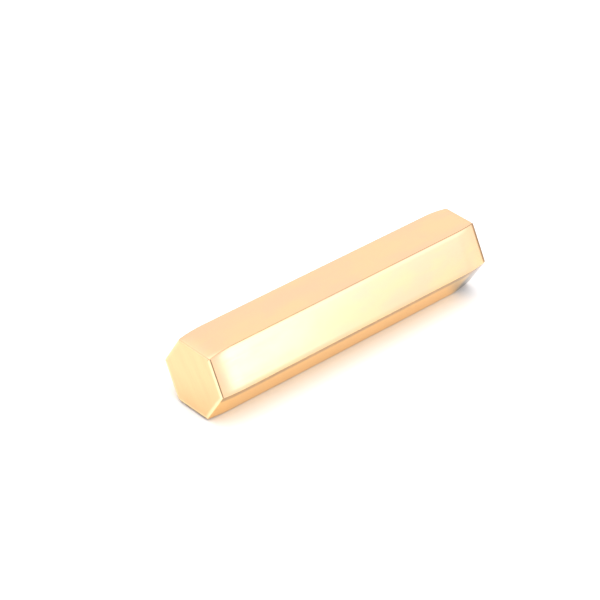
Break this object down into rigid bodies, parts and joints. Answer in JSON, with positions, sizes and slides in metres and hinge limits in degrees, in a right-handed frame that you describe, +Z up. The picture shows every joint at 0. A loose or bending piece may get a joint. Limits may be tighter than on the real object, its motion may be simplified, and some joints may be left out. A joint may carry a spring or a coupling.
{
  "type": "hexagonal bronze rod",
  "caption": "Hexagonal polished bronze rod with softly rounded arrises; its flats roll off towards two flat, edge-rounded end faces.",
  "frame": {"origin": "on the floor under the middle of the rod, on the flat that it lies on", "axes": "+X along the rod, +Z up, +Y to the back"},
  "size_m": [0.12, 0.0288, 0.025],
  "materials": {
    "bronze": "polished, with fine polishing lines; golden bronze"
  },
  "bodies": {
    "root": {"hex_rod": "bronze"}
  },
  "joints": []
}
